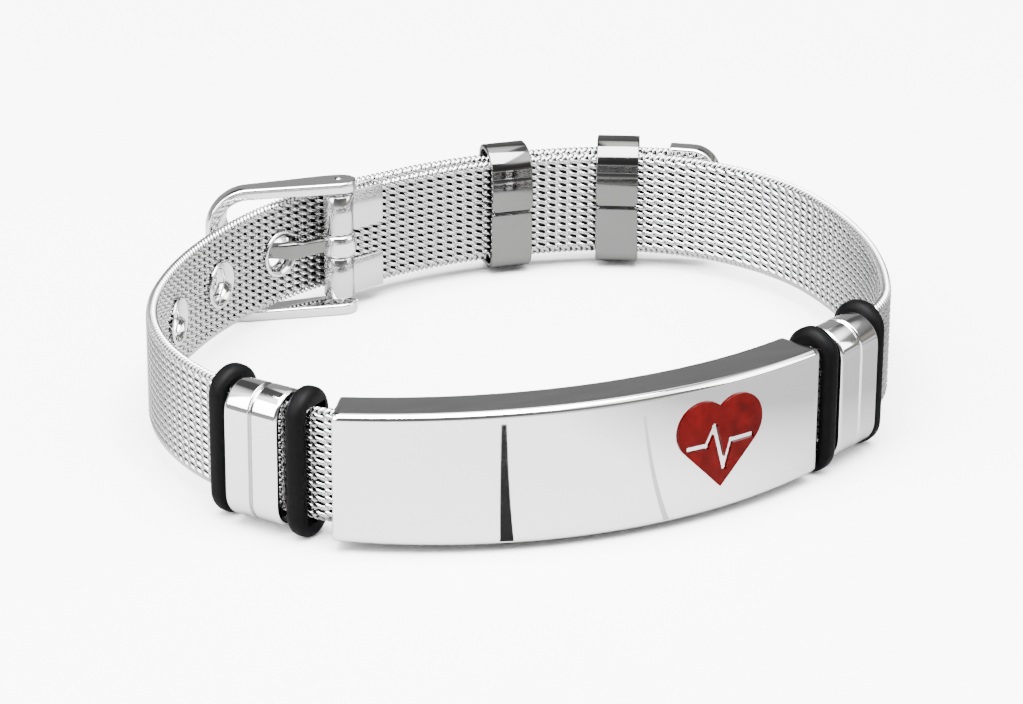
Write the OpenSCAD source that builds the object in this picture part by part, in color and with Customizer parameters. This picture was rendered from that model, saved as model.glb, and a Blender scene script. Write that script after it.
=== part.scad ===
/* [Mesh strap] */
// Height of the woven steel strap, standing on its edge
strap_h = 10; // [9:0.1:10.5]
// Thickness of the woven strap
strap_t = 1.1; // [0.9:0.05:1.1]
// Where the short end starts, measured along the strap from the hinge
strap_from = 1.7; // [1.7:0.1:2.2]
// Where the long end stops, inside its metal tip
strap_to = 235.1; // [234.6:0.1:235.1]

/* [Fit] */
// Gap left between two pieces that touch on the real bracelet
gap = 0.1; // [0.08:0.01:0.12]

/* [Name plate] */
// Height of the curved plate
plate_h = 11.5; // [11:0.1:12]
// Thickness of the plate from front face to back wall
plate_t = 4.4; // [4.1:0.1:4.6]
// How far the plate's front face lies outside the strap's middle
plate_out = 2.85; // [2.7:0.05:3.1]
// Angle that the plate spans round its own bend
plate_angle = 55.5; // [54:0.5:55.5]
// Rounding of the plate's long edges
plate_round = 0.35; // [0.1:0.05:0.4]

/* [Heart emblem] */
// Width of the enamel heart
heart_w = 8.5; // [6:0.5:9]
// Thickness of the enamel
heart_t = 0.14; // [0.1:0.02:0.2]
// Width of the bare pulse line across the heart
pulse_w = 0.5; // [0.3:0.1:0.7]

/* [Barrels] */
// Height of the metal barrels
barrel_h = 11.75; // [11.4:0.05:12]
// Thickness of the barrels
barrel_t = 4.8; // [4.4:0.1:5]
// Length of the right barrel along the strap
barrel_right_l = 5.4; // [5:0.1:5.5]
// Length of the left barrel along the strap
barrel_left_l = 5.2; // [5:0.1:5.2]
// Rounding of the barrel's end edges
barrel_round = 0.35; // [0.1:0.05:0.5]
// Width of the groove round the middle of a barrel
groove_w = 0.45; // [0.3:0.05:0.6]
// Depth of that groove
groove_d = 0.25; // [0.1:0.05:0.3]

/* [Rubber rings] */
// Height of the rubber rings
ring_h = 12.9; // [12.4:0.1:12.9]
// Thickness of the rings across the strap
ring_t = 4.7; // [4.4:0.1:4.8]
// Length of a ring along the strap
ring_l = 1.75; // [1.4:0.05:1.75]
// Rounding of a ring's edges
ring_round = 0.55; // [0.2:0.05:0.7]

/* [Keepers] */
// Height of the sheet metal keepers
keeper_h = 11.8; // [11.5:0.1:12.4]
// Length of a keeper along the strap
keeper_l = 4; // [3:0.1:4.2]
// Thickness of the keeper's sheet
keeper_sheet = 0.45; // [0.3:0.05:0.5]
// Outer radius of a keeper's corners
keeper_round = 1.3; // [0.8:0.1:1.5]
// Open seam in the middle of a keeper's inner side
keeper_seam = 0.3; // [0.1:0.05:0.6]

/* [Buckle] */
// Height of the buckle frame, which is also the height of the bracelet
frame_h = 12.9; // [12.9:0.1:13.2]
// Thickness of the strip that the frame is bent from
frame_sheet = 1.05; // [0.9:0.05:1.1]
// Width of that strip at the pin
frame_w = 2.8; // [2.6:0.1:3]
// Width of that strip in the far bar, after the arms have become narrower
bar_w = 1.5; // [1.4:0.1:1.7]
// Length of the frame from the hinge pin to the outside of the far bar
frame_l = 12.6; // [12.5:0.1:12.7]
// Outer radius of the frame's two bends
frame_bend = 3.8; // [3.4:0.1:4]
// Radius of the hinge pin
pin_r = 0.5; // [0.4:0.05:0.5]
// Outer radius of the lug tubes
tube_r = 1.4; // [1.3:0.05:1.4]
// Outer radius of the tongue's loop
loop_r = 1.65; // [1.5:0.05:1.7]
// Height of the tongue's loop
loop_h = 2.1; // [1.8:0.1:2.3]
// Height of the tongue's bar
tongue_h = 1.4; // [1.2:0.1:1.5]
// Thickness of the tongue's bar
tongue_t = 0.8; // [0.6:0.1:0.8]
// Thickness of the lug's sheet
lug_sheet = 0.32; // [0.25:0.01:0.35]

/* [Eyelets] */
// Distance from one eyelet to the next
eyelet_pitch = 9.55; // [9.5:0.05:9.6]
// Outer radius of an eyelet's flange
flange_r = 2.2; // [2.1:0.05:2.3]
// Thickness of the flange
flange_t = 0.15; // [0.12:0.01:0.18]
// Radius of the eyelet's throat
throat_r = 1.35; // [1.3:0.05:1.4]

/* [Metal tip] */
// Height of the metal tip
tip_h = 10.6; // [10.6:0.1:11.2]
// Thickness of the tip across the strap
tip_t = 1.9; // [1.8:0.05:2.1]
// Radius of the tip's two corners
tip_round = 2.5; // [1.5:0.1:2.6]

/* [Hidden] */

$fn = 128;

// The strap's middle line, seen from above, from the hinge round the wrist and back over the
// hinge to the tip. Each row is one stretch: its length and how far it turns to the right.
LENGTH = 0;
TURN = 1;
stretches = [
    [3.5, 0],       // held in the lug
    [21.38, 32.1],  // back
    [26.75, 72.4],  // right back corner
    [22.85, 29.9],  // right side
    [8.65, 35.2],   // right front corner
    [6.1, 0],       // through the right barrel
    [3.3, 3.4],     // beside the plate
    [41.3, 55.6],   // through the plate
    [3.45, 29.6],   // beside the plate
    [5.65, 0],      // through the left barrel
    [2.97, 9.6],    // left front corner
    [22.55, 50.6],  // left side
    [19.97, 26],    // left back
    [9.17, 15.6],   // over the hinge
    [2.6, 5],       // long end, over the short end
    [5.2, 1],
    [19, 28],
    [16.2, 30]      // last stretch, with the tip
];
plate_row = 7;

// The hinge, before the whole bracelet is moved to its own origin
hinge = [-9.9, 19.3, 20];
// Moves the middle of the bracelet's box to the origin
centre = [1.81, 5.83];
// Middle of the strap's height above the surface that the bracelet lies on
mid_z = frame_h / 2;

// Places along the strap
ring_places = [83.4, 90.9, 136.4, 144.2];
// How far the rings lie out from the strap's middle
ring_outs = [0.3, 0.8, 0, 0];
barrel_right_at = 87.1;
barrel_left_at = 140.3;
// How far the barrels lie out from the strap's middle, and how the left one leans
barrel_right_out = 0.7;
barrel_left_out = 0.4;
barrel_left_lean = 5;
keeper_left_at = 18.7;
keeper_right_at = 29.25;
eyelet_first = 172.5;
tongue_eyelet = eyelet_first + 2 * eyelet_pitch;
heart_at = 103.1;
tip_from = 233.1;
tip_to = 237.8;

// Room for the strap inside what it passes through
slot_h = strap_h + 2 * gap;
slot_t = strap_t + 2 * gap;
// Barrels and rings are straight and leave more room, because the strap bends inside them
sleeve_slot = strap_t + 1.9;
// Clearance of the eyelet flanges, the keepers and the lug leaves from the strap's faces
flange_clear = 1.4 * gap;
keeper_clear = 2.3 * gap;
leaf_clear = 0.8 * gap;

// Distance from the short end's middle line to the long end's, at each keeper
lap_left = 1.75;
lap_right = 2.2;

// Pin and lug, measured from the hinge along and across the short end
pin_along = -0.15;
pin_inset = 0.45;
bore_r = pin_r + gap;
leaf_end = 4.7;
leaf_web = 1.05;
// Heights of the lug's tubes and leaves, measured from the strap's lower edge
tube_split = loop_h / 2 + gap;
loop_rise = 0.1;
leaf_from = 1.2;
leaf_step = 0.5;
// The outer leaves stay clear of the eyelet that lies over the hinge
outer_leaf_h = 2.3;

// The frame's arms lean away from the strap and start a little inside the pin
arm_heading = 171.5;
arm_inset = 0.35;
frame_bore = pin_r + 0.05;
// Notch in the outer face of the far bar, where the tongue rests
notch_h = 2;
notch_d = 0.4;

// Tongue, as places along the strap with how far outside its middle line they lie
tongue_rise = 0.15;
tongue_bow = [2.2, -1.6];
tongue_dive = [1.1, -1.35];
tongue_out = [-1, 1.3];
// Its tip, along the arms and outside the pin
tongue_tip = [12.1, 0.1];

// Eyelet sizes
eyelet_barrel_r = throat_r + 0.4;
eyelet_mouth_r = throat_r + 0.3;
eyelet_bore_r = eyelet_barrel_r + gap;
flange_rest = strap_t / 2 + flange_clear;

// Steps in degrees of a rounded corner and of a wall that follows the strap
corner_step = 7.5;
bend_step = 4;

// One step along a stretch: a place is [x, y, heading]
function walk(place, row, way) = row[TURN] == 0
    ? [place.x + way * cos(place.z), place.y + way * sin(place.z), place.z]
    : let (
        bend = row[LENGTH] / row[TURN] * 180 / PI,
        next = place.z - row[TURN] * way / row[LENGTH]
    ) [place.x + bend * (sin(place.z) - sin(next)), place.y - bend * (cos(place.z) - cos(next)), next];

// Where stretch number i starts
function stretch_start(i) = i == 0
    ? [hinge.x + centre.x, hinge.y + centre.y, hinge.z]
    : walk(stretch_start(i - 1), stretches[i - 1], stretches[i - 1][LENGTH]);

// Length of strap before stretch number i
function length_before(i) = i == 0 ? 0 : length_before(i - 1) + stretches[i - 1][LENGTH];

// The place at a length of strap from the hinge
function place_at(s, i = 0) = s <= stretches[i][LENGTH] || i == len(stretches) - 1
    ? walk(stretch_start(i), stretches[i], s)
    : place_at(s - stretches[i][LENGTH], i + 1);

// The point that lies out by a distance from the strap's middle line
function beside(s, out) = let (p = place_at(s)) [p.x - out * sin(p.z), p.y + out * cos(p.z)];

// Points of a rounded corner, and of a box with four of them
function corner(x, y, r, from) = [for (a = [from : corner_step : from + 90]) [x + r * cos(a), y + r * sin(a)]];
function rounded_box(x0, y0, x1, y1, r) = concat(
    corner(x1 - r, y1 - r, r, 0),
    corner(x0 + r, y1 - r, r, 90),
    corner(x0 + r, y0 + r, r, 180),
    corner(x1 - r, y0 + r, r, 270)
);

// Lengths of strap at which a wall that follows it bends, no more than bend_step apart
function bends(from, to) = concat(
    [from],
    [for (i = [0 : len(stretches) - 1])
        let (steps = max(1, ceil(stretches[i][TURN] / bend_step)))
        for (k = [0 : steps - 1])
            let (s = length_before(i) + stretches[i][LENGTH] * k / steps)
            if (s > from && s < to) s],
    [to]
);

// A wall of thickness t and height h that follows the strap
module wall(from, to, t, h) {
    marks = bends(from, to);
    translate([0, 0, mid_z])
        linear_extrude(h, center = true)
            polygon(concat(
                [for (i = [0 : len(marks) - 1]) beside(marks[i], t / 2)],
                [for (i = [len(marks) - 1 : -1 : 0]) beside(marks[i], -t / 2)]
            ));
}

// Puts a piece on the strap with its x out of the loop, its y up and its z along the strap
module across(s) {
    p = place_at(s);
    translate([p.x, p.y, mid_z]) rotate([90, 0, p.z + 90]) children();
}

// Puts a round piece in the strap with its axis out of the loop
module through(s) {
    p = place_at(s);
    translate([p.x, p.y, mid_z]) rotate([0, 90, p.z + 90]) children();
}

// Puts a piece at the hinge with its x along the short end and its y out of the loop
module at_hinge() {
    p = place_at(0);
    translate([p.x, p.y, mid_z]) rotate([0, 0, p.z]) children();
}

// A loop with round top and bottom round the strap, with a slot cut through. It may lie
// out from the strap's middle and lean against it, in a slot of its own thickness.
module sleeve(h, t, l, r, groove = 0, slot = slot_t) {
    difference() {
        union() {
            for (side = [-1, 1])
                translate([0, side * (h - t) / 2, 0])
                    rotate_extrude() sleeve_half(t, l, r, groove);
            rotate([90, 0, 0])
                linear_extrude(h - t, center = true)
                    for (side = [0, 1])
                        mirror([side, 0]) sleeve_half(t, l, r, groove);
        }
        cube([slot, slot_h, 2 * l], center = true);
    }
}

module sleeve_half(t, l, r, groove) {
    difference() {
        polygon(concat([[0, -l / 2]], corner(t / 2 - r, r - l / 2, r, 270),
            corner(t / 2 - r, l / 2 - r, r, 0), [[0, l / 2]]));
        if (groove > 0)
            translate([t / 2 - groove_d, -groove / 2]) square([t, groove]);
    }
}

module mesh_strap() {
    color("silver") difference() {
        wall(strap_from, strap_to, strap_t, strap_h);
        for (i = [0 : 4])
            through(eyelet_first + i * eyelet_pitch)
                cylinder(r = eyelet_bore_r, h = strap_t + 4 * gap, center = true);
    }
}

module name_plate() {
    extra = (plate_angle - stretches[plate_row][TURN]) / 2;
    start = stretch_start(plate_row);
    bend = stretches[plate_row][LENGTH] / stretches[plate_row][TURN] * 180 / PI;
    color("gainsboro")
        translate([start.x + bend * sin(start.z), start.y - bend * cos(start.z), mid_z])
            rotate([0, 0, start.z + 90 - plate_angle + extra])
                rotate_extrude(angle = plate_angle) translate([bend, 0]) difference() {
                    polygon(rounded_box(plate_out - plate_t, -plate_h / 2, plate_out, plate_h / 2, plate_round));
                    square([slot_t, slot_h], center = true);
                }
}

// An enamel heart on the plate, with a pulse line left bare in it
module heart_emblem() {
    side = heart_w / (1 + sqrt(0.5));
    bend = stretches[plate_row][LENGTH] / stretches[plate_row][TURN] * 180 / PI;
    start = stretch_start(plate_row);
    skin = 0.03;
    color("darkred") intersection() {
        translate([start.x + bend * sin(start.z), start.y - bend * cos(start.z), 0]) difference() {
            cylinder(r = bend + plate_out + skin + heart_t, h = 2 * mid_z, $fn = 256);
            translate([0, 0, -1]) cylinder(r = bend + plate_out + skin, h = 2 * mid_z + 2, $fn = 256);
        }
        across(heart_at)
            rotate([0, 90, 0])
                linear_extrude(2 * plate_out) difference() {
                    union() {
                        rotate([0, 0, 45]) square(side, center = true);
                        for (way = [-1, 1])
                            translate([way * side / sqrt(8), side / sqrt(8)]) circle(d = side);
                    }
                    pulse_line();
                }
    }
}

// The pulse line's corners, along and up in tenths of the heart's width
module pulse_line() {
    unit = heart_w / 10;
    corners = [[-3.7, 0.4], [-1.7, 0.4], [-0.8, 2.2], [0.4, -2.2], [1.2, 0.4], [3.7, 0.4]];
    for (i = [0 : len(corners) - 2]) {
        from = unit * corners[i];
        way = unit * corners[i + 1] - from;
        translate(from)
            rotate([0, 0, atan2(way.y, way.x)])
                translate([-pulse_w / 2, -pulse_w / 2])
                    square([norm(way) + pulse_w, pulse_w]);
    }
}

module barrel_left() {
    color("silver") across(barrel_left_at)
        translate([barrel_left_out, 0, 0])
            rotate([0, barrel_left_lean, 0])
                sleeve(barrel_h, barrel_t, barrel_left_l, barrel_round, groove_w, sleeve_slot);
}

module barrel_right() {
    color("silver") across(barrel_right_at)
        translate([barrel_right_out, 0, 0])
            sleeve(barrel_h, barrel_t, barrel_right_l, barrel_round, groove_w, sleeve_slot);
}

module rubber_ring(i) {
    color([0.12, 0.12, 0.12]) across(ring_places[i - 1])
        translate([ring_outs[i - 1], 0, 0])
            sleeve(ring_h, ring_t, ring_l, ring_round, slot = sleeve_slot);
}

// A loop of bright sheet round both ends of the strap, open at a seam inside
module keeper(s, lap) {
    inside = strap_t / 2 + keeper_clear + keeper_sheet;
    outside = lap + inside;
    half = keeper_h / 2;
    color("gainsboro") across(s)
        linear_extrude(keeper_l, center = true) difference() {
            polygon(rounded_box(-inside, -half, outside, half, keeper_round));
            polygon(rounded_box(keeper_sheet - inside, keeper_sheet - half,
                outside - keeper_sheet, half - keeper_sheet, keeper_round - keeper_sheet));
            translate([-inside - 1, -keeper_seam / 2]) square([1 + 2 * keeper_sheet, keeper_seam]);
        }
}

// Two arms and a far bar, bent from one strip that is wide at the pin and narrow at the bar
module buckle_frame() {
    straight = frame_l - frame_bend;
    bar_back = frame_w / 2 - bar_w;
    color("gainsboro") at_hinge()
        translate([pin_along, -pin_inset - arm_inset, 0])
            rotate([0, 0, arm_heading - hinge.z]) difference() {
                union() {
                    for (side = [-1, 1]) {
                        translate([0, 0, side * (frame_h - frame_sheet) / 2]) {
                            cylinder(d = frame_w, h = frame_sheet, center = true);
                            translate([straight / 2, 0, 0])
                                cube([straight, frame_w, frame_sheet], center = true);
                        }
                        translate([straight, 0, side * (frame_h / 2 - frame_bend)])
                            rotate([side * 90, 0, 0])
                                rotate_extrude(angle = 90)
                                    translate([frame_bend - frame_sheet, -frame_w / 2])
                                        square([frame_sheet, frame_w]);
                    }
                    translate([frame_l - frame_sheet / 2, 0, 0])
                        cube([frame_sheet, frame_w, frame_h - 2 * frame_bend], center = true);
                }
                linear_extrude(2 * frame_h, center = true)
                    polygon([[frame_w / 2, -frame_w], [frame_w / 2, -frame_w / 2],
                        [frame_l - frame_sheet, bar_back], [frame_l + 1, bar_back], [frame_l + 1, -frame_w]]);
                translate([frame_l, bar_back + notch_d - frame_w / 2, 0])
                    cube([4 * frame_sheet, frame_w, notch_h], center = true);
                rotate([0, 0, hinge.z - arm_heading])
                    translate([0, arm_inset, 0])
                        cylinder(r = frame_bore, h = 2 * frame_h, center = true);
            }
}

module buckle_pin() {
    color("silver") at_hinge()
        translate([pin_along, -pin_inset, 0])
            cylinder(r = pin_r, h = frame_h - 2 * gap, center = true);
}

// A tube round the pin with two leaves that grip the short end
module lug(from, to, leaf_low, leaf_high, outer_low) {
    leaf_y = strap_t / 2 + leaf_clear;
    color("silver") at_hinge() difference() {
        union() {
            translate([pin_along, -pin_inset, from - strap_h / 2])
                cylinder(r = tube_r, h = to - from);
            translate([leaf_web - gap, -leaf_y - lug_sheet, leaf_low - strap_h / 2])
                cube([leaf_end - leaf_web + gap, lug_sheet, leaf_high - leaf_low]);
            translate([leaf_web - 2 * gap, -leaf_y - lug_sheet / 2, outer_low - strap_h / 2])
                cube([4 * gap, 2 * leaf_y + lug_sheet, outer_leaf_h]);
            translate([leaf_web - gap, leaf_y, outer_low - strap_h / 2])
                cube([leaf_end - leaf_web + gap, lug_sheet, outer_leaf_h]);
        }
        translate([pin_along, -pin_inset, -strap_h])
            cylinder(r = bore_r, h = 2 * strap_h);
    }
}

// A loop round the pin and a bar that goes out through the eyelet to the far bar
module buckle_tongue() {
    h = hinge.z;
    pin = beside(0, -pin_inset) + pin_along * [cos(h), sin(h)];
    tip = pin + tongue_tip.x * [cos(arm_heading), sin(arm_heading)]
        + tongue_tip.y * [sin(arm_heading), -cos(arm_heading)];
    route = [
        pin,
        beside(tongue_eyelet + tongue_bow.x, tongue_bow.y),
        beside(tongue_eyelet + tongue_dive.x, tongue_dive.y),
        beside(tongue_eyelet + tongue_out.x, tongue_out.y),
        tip
    ];
    color("gainsboro") difference() {
        union() {
            translate([pin.x, pin.y, mid_z + loop_rise]) cylinder(r = loop_r, h = loop_h, center = true);
            translate([0, 0, mid_z + tongue_rise])
                linear_extrude(tongue_h, center = true) polygon(ribbon(route, tongue_t));
        }
        translate([pin.x, pin.y, mid_z]) cylinder(r = bore_r, h = strap_h, center = true);
    }
}

// The outline of a strip that follows a route seen from above
function way(a, b) = (b - a) / norm(b - a);
function edge(route, i, out) =
    let (
        last = len(route) - 1,
        both = way(route[max(i - 1, 0)], route[max(i, 1)]) + way(route[min(i, last - 1)], route[min(i + 1, last)])
    ) route[i] + out * [-both.y, both.x] / norm(both);
function ribbon(route, t) = concat(
    [for (i = [0 : len(route) - 1]) edge(route, i, t / 2)],
    [for (i = [len(route) - 1 : -1 : 0]) edge(route, i, -t / 2)]
);

// A metal eyelet with a flange on both faces and a mouth that opens outwards
module eyelet(i) {
    top = flange_rest + flange_t;
    color("gainsboro") through(eyelet_first + (i - 1) * eyelet_pitch)
        rotate_extrude() polygon([
            [throat_r, -flange_rest / 2],
            [eyelet_mouth_r, -top],
            [flange_r - flange_t / 2, -top],
            [flange_r, -flange_rest],
            [eyelet_barrel_r, -flange_rest],
            [eyelet_barrel_r, flange_rest],
            [flange_r, flange_rest],
            [flange_r - flange_t / 2, top],
            [eyelet_mouth_r, top],
            [throat_r, flange_rest / 2]
        ]);
}

// A folded cap on the end of the long end, with round corners
module strap_tip() {
    color("gainsboro") difference() {
        wall(tip_from, tip_to, tip_t, tip_h);
        wall(tip_from - 1, strap_to + gap, slot_t, slot_h);
        for (side = [-1, 1])
            across(tip_to - tip_round)
                translate([0, side * (tip_h / 2 - tip_round), 0])
                    rotate([0, 90, 0]) difference() {
                        translate([-2 * tip_round, side < 0 ? -2 * tip_round : 0, -tip_t])
                            cube([2 * tip_round, 2 * tip_round, 2 * tip_t]);
                        cylinder(r = tip_round, h = 4 * tip_t, center = true);
                    }
    }
}

mesh_strap();
name_plate();
heart_emblem();
barrel_left();
barrel_right();
rubber_ring(1);  // rubber_ring_1
rubber_ring(2);  // rubber_ring_2
rubber_ring(3);  // rubber_ring_3
rubber_ring(4);  // rubber_ring_4
keeper(keeper_left_at, lap_left);  // keeper_left
keeper(keeper_right_at, lap_right);  // keeper_right
buckle_frame();
buckle_tongue();
buckle_pin();
lug(strap_h / 2 + loop_rise + tube_split, strap_h, strap_h / 2 + leaf_from, strap_h,  // lug_upper
        strap_h - outer_leaf_h);
lug(0, strap_h / 2 + loop_rise - tube_split, 0, strap_h / 2 - leaf_from - leaf_step, 0);  // lug_lower
eyelet(1);  // eyelet_1
eyelet(2);  // eyelet_2
eyelet(3);  // eyelet_3
eyelet(4);  // eyelet_4
eyelet(5);  // eyelet_5
strap_tip();
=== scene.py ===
import math

import bpy
import numpy as np
from mathutils import Matrix, Vector


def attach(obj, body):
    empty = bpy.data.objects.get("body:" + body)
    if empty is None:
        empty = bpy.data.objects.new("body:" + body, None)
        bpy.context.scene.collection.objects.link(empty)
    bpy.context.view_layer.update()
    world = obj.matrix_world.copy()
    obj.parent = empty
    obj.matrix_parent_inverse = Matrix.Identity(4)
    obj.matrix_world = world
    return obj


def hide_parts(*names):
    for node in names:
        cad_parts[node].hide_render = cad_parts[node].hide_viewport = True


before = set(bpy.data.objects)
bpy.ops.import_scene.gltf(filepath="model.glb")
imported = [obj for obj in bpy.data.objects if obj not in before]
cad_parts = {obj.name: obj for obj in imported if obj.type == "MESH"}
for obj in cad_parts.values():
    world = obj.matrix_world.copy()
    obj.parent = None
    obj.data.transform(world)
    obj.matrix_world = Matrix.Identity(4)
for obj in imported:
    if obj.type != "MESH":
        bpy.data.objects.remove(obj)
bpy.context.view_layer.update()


# MESH STRAP
# A band of woven steel wire, 10 mm wide and 1.1 mm thick. Each column is a pair of flattened
# wire coils that run from edge to edge, and each coil is threaded through the next column's.
# The band goes from the hinge round the wrist, and back over the hinge to its metal tip.

# a length in mm and a turn to the right in degrees, one after the other
STRETCHES = [
    (3.5, 0), (21.38, 32.1), (26.75, 72.4), (22.85, 29.9), (8.65, 35.2), (6.1, 0),
    (3.3, 3.4), (41.3, 55.6), (3.45, 29.6), (5.65, 0), (2.97, 9.6), (22.55, 50.6),
    (19.97, 26), (9.17, 15.6), (2.6, 5), (5.2, 1), (19, 28), (16.2, 30),
]
HINGE = (-8.09, 25.13, 20.0)  # place of the band's short end, and the way it sets off
MID_HEIGHT = 6.45
STRAP_HEIGHT, STRAP_THICK = 10.0, 1.1
EYELETS_AT = [172.5 + 9.55 * i for i in range(5)]
EYELET_HOLE = 1.9
WIRE = 0.215
COLUMN = 1.035
ROWS = 14


def strap_line():
    """Lengths, places and headings of the strap's middle line, in mm and degrees."""
    x, y, h = HINGE
    rows = [(0.0, x, y, h)]
    for length, turn in STRETCHES:
        steps = max(1, int(length / 0.1))
        for _ in range(steps):
            d = length / steps
            mid = h - turn / steps / 2
            x += d * math.cos(math.radians(mid))
            y += d * math.sin(math.radians(mid))
            h -= turn / steps
            rows.append((rows[-1][0] + d, x, y, h))
    return np.array(rows).T


LINE = strap_line()


def on_strap(s, out, z):
    """Points at length s, lying out from the middle line, at height z from its middle."""
    s = np.asarray(s, float)
    h = np.radians(np.interp(s, LINE[0], LINE[3]))
    x = np.interp(s, LINE[0], LINE[1]) - out * np.sin(h)
    y = np.interp(s, LINE[0], LINE[2]) + out * np.cos(h)
    return np.stack([x, y, MID_HEIGHT + z + 0 * s], -1) / 1000


def piece(name, points, faces, material, slot, *nodes, sharp=38):
    """A smooth mesh piece that rides on the bracelet and stands for CAD nodes."""
    points = np.asarray(points, np.float32).reshape(-1, 3)
    mesh = bpy.data.meshes.new(name)
    if isinstance(faces, np.ndarray):
        starts = np.arange(0, faces.size, faces.shape[1], dtype=np.int32)
        mesh.vertices.add(len(points))
        mesh.vertices.foreach_set("co", points.ravel())
        mesh.loops.add(faces.size)
        mesh.loops.foreach_set("vertex_index", faces.ravel().astype(np.int32))
        mesh.polygons.add(len(faces))
        mesh.polygons.foreach_set("loop_start", starts)
        mesh.update(calc_edges=True)
    else:
        mesh.from_pydata(points.tolist(), [], faces)
    mesh.validate()
    mesh.shade_smooth()
    if sharp:
        mesh.set_sharp_from_angle(angle=math.radians(sharp))
    mesh.materials.append(material)
    obj = bpy.data.objects.new(name, mesh)
    bpy.context.scene.collection.objects.link(obj)
    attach(obj, "root")
    if nodes:
        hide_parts(*nodes)
    return obj


def metal(name, colour, roughness, grain=0.0, stretch=(1, 1, 1), spots=0.05):
    """Steel with a fine uneven polish, and a brushed grain where grain is above 0."""
    mat = bpy.data.materials.new(name)
    mat.use_nodes = True
    nodes, links = mat.node_tree.nodes, mat.node_tree.links
    shader = nodes["Principled BSDF"]
    shader.inputs["Metallic"].default_value = 1.0
    where = nodes.new("ShaderNodeTexCoord")
    mapping = nodes.new("ShaderNodeMapping")
    mapping.inputs["Scale"].default_value = stretch
    links.new(where.outputs["Object"], mapping.inputs["Vector"])
    cloud = nodes.new("ShaderNodeTexNoise")
    cloud.inputs["Scale"].default_value = 160.0
    cloud.inputs["Detail"].default_value = 4.0
    links.new(where.outputs["Object"], cloud.inputs["Vector"])
    tint = nodes.new("ShaderNodeMixRGB")
    tint.inputs["Color1"].default_value = (*[c * (1 - 2 * spots) for c in colour], 1)
    tint.inputs["Color2"].default_value = (*colour, 1)
    links.new(cloud.outputs["Fac"], tint.inputs["Fac"])
    links.new(tint.outputs["Color"], shader.inputs["Base Color"])
    lines = nodes.new("ShaderNodeTexNoise")
    lines.inputs["Scale"].default_value = 900.0
    lines.inputs["Detail"].default_value = 3.0
    links.new(mapping.outputs["Vector"], lines.inputs["Vector"])
    polish = nodes.new("ShaderNodeMapRange")
    polish.inputs["To Min"].default_value = roughness * 0.7
    polish.inputs["To Max"].default_value = roughness * 1.4
    links.new(lines.outputs["Fac"], polish.inputs["Value"])
    links.new(polish.outputs["Result"], shader.inputs["Roughness"])
    if grain > 0:
        bump = nodes.new("ShaderNodeBump")
        bump.inputs["Strength"].default_value = grain
        bump.inputs["Distance"].default_value = 0.00002
        links.new(lines.outputs["Fac"], bump.inputs["Height"])
        links.new(bump.outputs["Normal"], shader.inputs["Normal"])
    return mat


wire_steel = metal("wire steel", (0.61, 0.61, 0.61), 0.13, spots=0.08)
# painted shade: the dark colour of the sheet that stands for the shaded wires inside the weave
painted_wire_shade = metal("painted shade between wires", (0.06, 0.06, 0.062), 0.6, spots=0.2)


def tube(path, radius, sides=6):
    """Points and faces of a round wire along a path of strap places (length, out, height)."""
    along = np.gradient(path, axis=-2)
    along /= np.linalg.norm(along, axis=-1, keepdims=True)
    side = np.cross(along, [0.0, 0.0, 1.0])
    upright = np.linalg.norm(side, axis=-1, keepdims=True) < 0.2
    side = np.where(upright, np.cross(along, [1.0, 0.0, 0.0]), side)
    side /= np.linalg.norm(side, axis=-1, keepdims=True)
    other = np.cross(along, side)
    turn = np.arange(sides) * 2 * math.pi / sides
    points = (path[..., None, :] + radius * (side[..., None, :] * np.cos(turn)[:, None]
              + other[..., None, :] * np.sin(turn)[:, None]))
    count = path.shape[-2]
    i, k = np.meshgrid(np.arange(count - 1), np.arange(sides), indexing="ij")
    n = (k + 1) % sides
    faces = np.stack([i * sides + k, i * sides + n, (i + 1) * sides + n, (i + 1) * sides + k], -1)
    return points, faces.reshape(-1, 4)


EDGE_ROOM = 0.45  # the coils stop this far from the edges, where the teeth go round
COIL_STEPS = 16
REACH_SHAPE, DEPTH_SHAPE = 0.92, 0.8  # below 1 the coils are flatter than a screw
TOOTH_WIRE, TOOTH_SLANT, TOOTH_DEPTH = 0.85, 0.3, 0.5


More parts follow.
